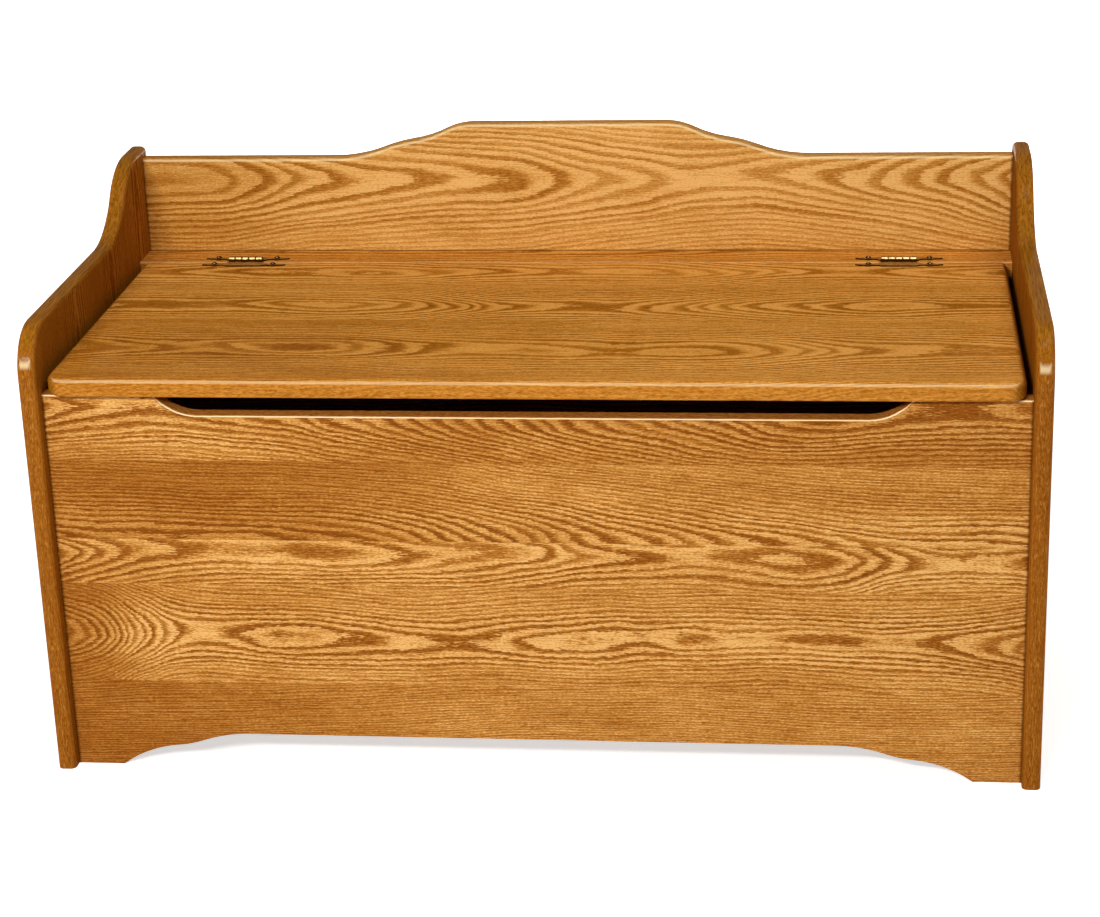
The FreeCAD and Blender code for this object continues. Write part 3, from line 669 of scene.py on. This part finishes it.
def hinge_screws(name, node, first_turn):
    """The four screws of two leaves, with their slots left as the driver left them."""
    low, high = box_of(node)
    row = (low.y + high.y) / 2
    reach = high.x - HINGE_SCREW_HEAD - HINGE_X
    spots = [middle + side * reach for middle in (-HINGE_X, HINGE_X) for side in (-1, 1)]
    places = []
    for x, slot_turn in zip(spots, SLOT_TURNS):
        seat = Matrix.Translation((x * MM, row * MM, LEAF_TOP * MM))
        places.append(seat @ Matrix.Rotation(math.radians(slot_turn + first_turn), 4, "Z"))
    screw = slotted_screw(
        head=HINGE_SCREW_HEAD, rise=high.z - LEAF_TOP, shank=HINGE_SCREW_SHANK, length=LEAF_TOP - low.z)
    return place_copies(name, screw, places, brass)


rail_screws = hinge_screws("rail_hinge_screws", "hinge_rail_screws", first_turn=0.0)
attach(rail_screws, "carcass")
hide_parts("hinge_rail_screws")
lid_screws = hinge_screws("lid_hinge_screws", "hinge_lid_screws", first_turn=53.0)
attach(lid_screws, "lid")
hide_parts("hinge_lid_screws")

# Lid stays: slotted arms and angle brackets punched from zinc-plated steel strip. Each arm turns on a
# rivet under the lid and slides on a headed stud in the side panel.
ZINC_DARK = (0.24, 0.25, 0.26, 1.0)
ZINC_PALE = (0.48, 0.48, 0.47, 1.0)
BRUSH_STROKES = (900.0, 220.0, 60.0)


def zinc_plate():
    made, tree, skin, coordinates = new_finish("zinc_plate")
    strokes = finish_step(
        tree, "VectorMath", coordinates["Object"], BRUSH_STROKES, operation="MULTIPLY")
    brushing = mottle(tree, strokes, along=1.0, across=1.0, detail=3.0)
    smooth = 0.22
    feed(tree, blend(tree, brushing, ZINC_DARK, ZINC_PALE), skin["Base Color"])
    feed(tree, reckon(tree, "MULTIPLY_ADD", brushing, 0.25, smooth), skin["Roughness"])
    feed(tree, 1.0, skin["Metallic"])
    return made


zinc = zinc_plate()
finish_with(zinc, "left_stay_arm", "right_stay_arm", "left_stay_bracket", "right_stay_bracket")
finish_with(zinc, "stay_studs", "stay_rivets")
LID_UNDERSIDE = box_of("lid_panel")[0].z
BRACKET_FACE = LID_UNDERSIDE - 2.0
BRACKET_SCREW_HEAD = 2.9
BRACKET_SCREW_SHANK = 1.6
screws_low, screws_high = box_of("stay_bracket_screws")
screw_x = screws_high.x - BRACKET_SCREW_HEAD
screw_rows = (screws_low.y + BRACKET_SCREW_HEAD, screws_high.y - BRACKET_SCREW_HEAD)
bracket_spots = [(side * screw_x, row) for side in (-1, 1) for row in screw_rows]
bracket_places = []
for (x, y), slot_turn in zip(bracket_spots, SLOT_TURNS):
    seat = Matrix.Translation((x * MM, y * MM, BRACKET_FACE * MM)) @ Matrix.Rotation(math.pi, 4, "X")
    bracket_places.append(seat @ Matrix.Rotation(math.radians(slot_turn), 4, "Z"))
bracket_screw = slotted_screw(
    head=BRACKET_SCREW_HEAD, rise=BRACKET_FACE - screws_low.z,
    shank=BRACKET_SCREW_SHANK, length=screws_high.z - BRACKET_FACE)
bracket_screws = place_copies("bracket_screws", bracket_screw, bracket_places, zinc)
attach(bracket_screws, "lid")
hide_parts("stay_bracket_screws")

# Bumpers: two small moulded rubber buttons stuck under the lid's front corners, where they meet the
# front panel and keep the lid's edge off it.
RUBBER_DARK = (0.055, 0.034, 0.020, 1.0)
RUBBER_BLOOM = (0.130, 0.090, 0.060, 1.0)


def brown_rubber():
    made, tree, skin, coordinates = new_finish("brown_rubber")
    place = in_millimetres(tree, coordinates["Object"])
    bloom = mottle(tree, place, along=1.4, across=1.4, detail=3.0)
    moulded = 0.45
    feed(tree, blend(tree, bloom, RUBBER_DARK, RUBBER_BLOOM), skin["Base Color"])
    feed(tree, reckon(tree, "MULTIPLY_ADD", bloom, 0.3, moulded), skin["Roughness"])
    return made


bumper_low, bumper_high = box_of("lid_bumpers")
bumper_y = (bumper_low.y + bumper_high.y) / 2
bumper_radius = (bumper_high.y - bumper_low.y) / 2
bumper_height = bumper_high.z - bumper_low.z
bumper_x = bumper_high.x - bumper_radius
button_profile = [
    (0.0, -1.0), (0.55, -1.0), (0.80, -0.90), (0.95, -0.62), (1.0, -0.25), (1.0, 0.0), (0.0, 0.0)]
button = bmesh.new()
turn(button, [(r * bumper_radius * MM, z * bumper_height * MM) for r, z in button_profile], sides=32)
bumper_places = [
    Matrix.Translation((x * MM, bumper_y * MM, bumper_high.z * MM)) for x in (-bumper_x, bumper_x)]
bumpers = place_copies("rubber_bumpers", button, bumper_places, brown_rubber())
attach(bumpers, "lid")
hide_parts("lid_bumpers")

# Studio: a pale floor and backdrop that go white, soft lamps in front and above, low ones at the sides
# and behind, and a camera a little to the right of the middle, looking down on the seat.
FLOOR_HALF = 9.0
WHITE = (1.0, 1.0, 1.0, 1.0)
PAPER = (0.86, 0.86, 0.86, 1.0)
floor_corners = [(x * FLOOR_HALF, y * FLOOR_HALF, 0.0) for x, y in ((-1, -1), (1, -1), (1, 1), (-1, 1))]
floor_mesh = bpy.data.meshes.new("studio_floor")
floor_mesh.from_pydata(floor_corners, [], [(0, 1, 2, 3)])
floor = bpy.data.objects.new("studio_floor", floor_mesh)
bpy.context.scene.collection.objects.link(floor)


def in_sight(tree):
    """1 for what the camera sees straight, in a reflection or through glass."""
    rays = outputs_of(tree, "LightPath")
    mirrored = reckon(tree, "MAXIMUM", rays["Is Glossy Ray"], rays["Is Transmission Ray"])
    return reckon(tree, "MAXIMUM", rays["Is Camera Ray"], mirrored)


paper, paper_tree, paper_skin, ground = new_finish("white_paper")
far = length_of(paper_tree, ground["Object"])
fading_out = ease(paper_tree, far, low=0.5, high=2.0, start=0.62, end=1.0)
feed(paper_tree, PAPER, paper_skin["Base Color"])
feed(paper_tree, 0.9, paper_skin["Roughness"])
feed(paper_tree, 0.0, paper_skin["Specular IOR Level"])
feed(paper_tree, WHITE, paper_skin["Emission Color"])
feed(paper_tree, times(paper_tree, in_sight(paper_tree), fading_out), paper_skin["Emission Strength"])
floor_mesh.materials.append(paper)

AMBIENT = 0.12
world = bpy.data.worlds.new("studio")
world.use_nodes = True
bpy.context.scene.world = world
sky = world.node_tree
backdrop = sky.nodes["Background"].inputs
feed(sky, WHITE, backdrop["Color"])
sky_glow = reckon(sky, "MULTIPLY_ADD", in_sight(sky), 1.0 - AMBIENT, AMBIENT)
feed(sky, sky_glow, backdrop["Strength"])


def lamp(name, place, target, width, height, power):
    """A soft rectangular lamp turned to its target, in metres and watts."""
    data = bpy.data.lights.new(name, "AREA")
    data.shape = "RECTANGLE"
    data.size = width
    data.size_y = height
    data.energy = power
    lit = bpy.data.objects.new(name, data)
    bpy.context.scene.collection.objects.link(lit)
    lit.location = place
    lit.rotation_euler = (Vector(target) - Vector(place)).to_track_quat("-Z", "Y").to_euler()


low_lamp = {"width": 1.2, "height": 0.6, "power": 26.0}
lamp("key_lamp", (-0.8, -2.8, 1.9), (0.0, -0.05, 0.32), width=1.4, height=0.14, power=84.0)
lamp("top_lamp", (0.9, -0.5, 2.5), (0.3, 0.05, 0.4), width=2.0, height=0.4, power=18.0)
lamp("left_lamp", (-2.7, 0.4, 0.36), (-0.5, 0.1, 0.3), **low_lamp)
lamp("right_lamp", (2.7, 0.4, 0.36), (0.5, 0.1, 0.3), **low_lamp)
lamp("rear_lamp", (0.0, 2.9, 0.45), (0.0, 0.2, 0.3), width=1.6, height=0.7, power=38.0)

CAMERA_PLACE = (0.32324, -2.71327, 1.29081)
PITCH, YAW, ROLL = (math.radians(angle) for angle in (20.508, -6.933, -1.962))
camera_data = bpy.data.cameras.new("camera")
camera_data.lens = 86.583
camera_data.sensor_width = 36.0
camera = bpy.data.objects.new("camera", camera_data)
bpy.context.scene.collection.objects.link(camera)
ahead = Vector((math.sin(YAW) * math.cos(PITCH), math.cos(YAW) * math.cos(PITCH), -math.sin(PITCH)))
level_right = Vector((math.cos(YAW), -math.sin(YAW), 0.0))
level_up = level_right.cross(ahead)
right = math.cos(ROLL) * level_right + math.sin(ROLL) * level_up
up = -math.sin(ROLL) * level_right + math.cos(ROLL) * level_up
aimed = Matrix((right, up, -ahead)).transposed().to_4x4()
camera.matrix_world = Matrix.Translation(CAMERA_PLACE) @ aimed
bpy.context.scene.camera = camera
bpy.context.scene.view_settings.view_transform = "Standard"
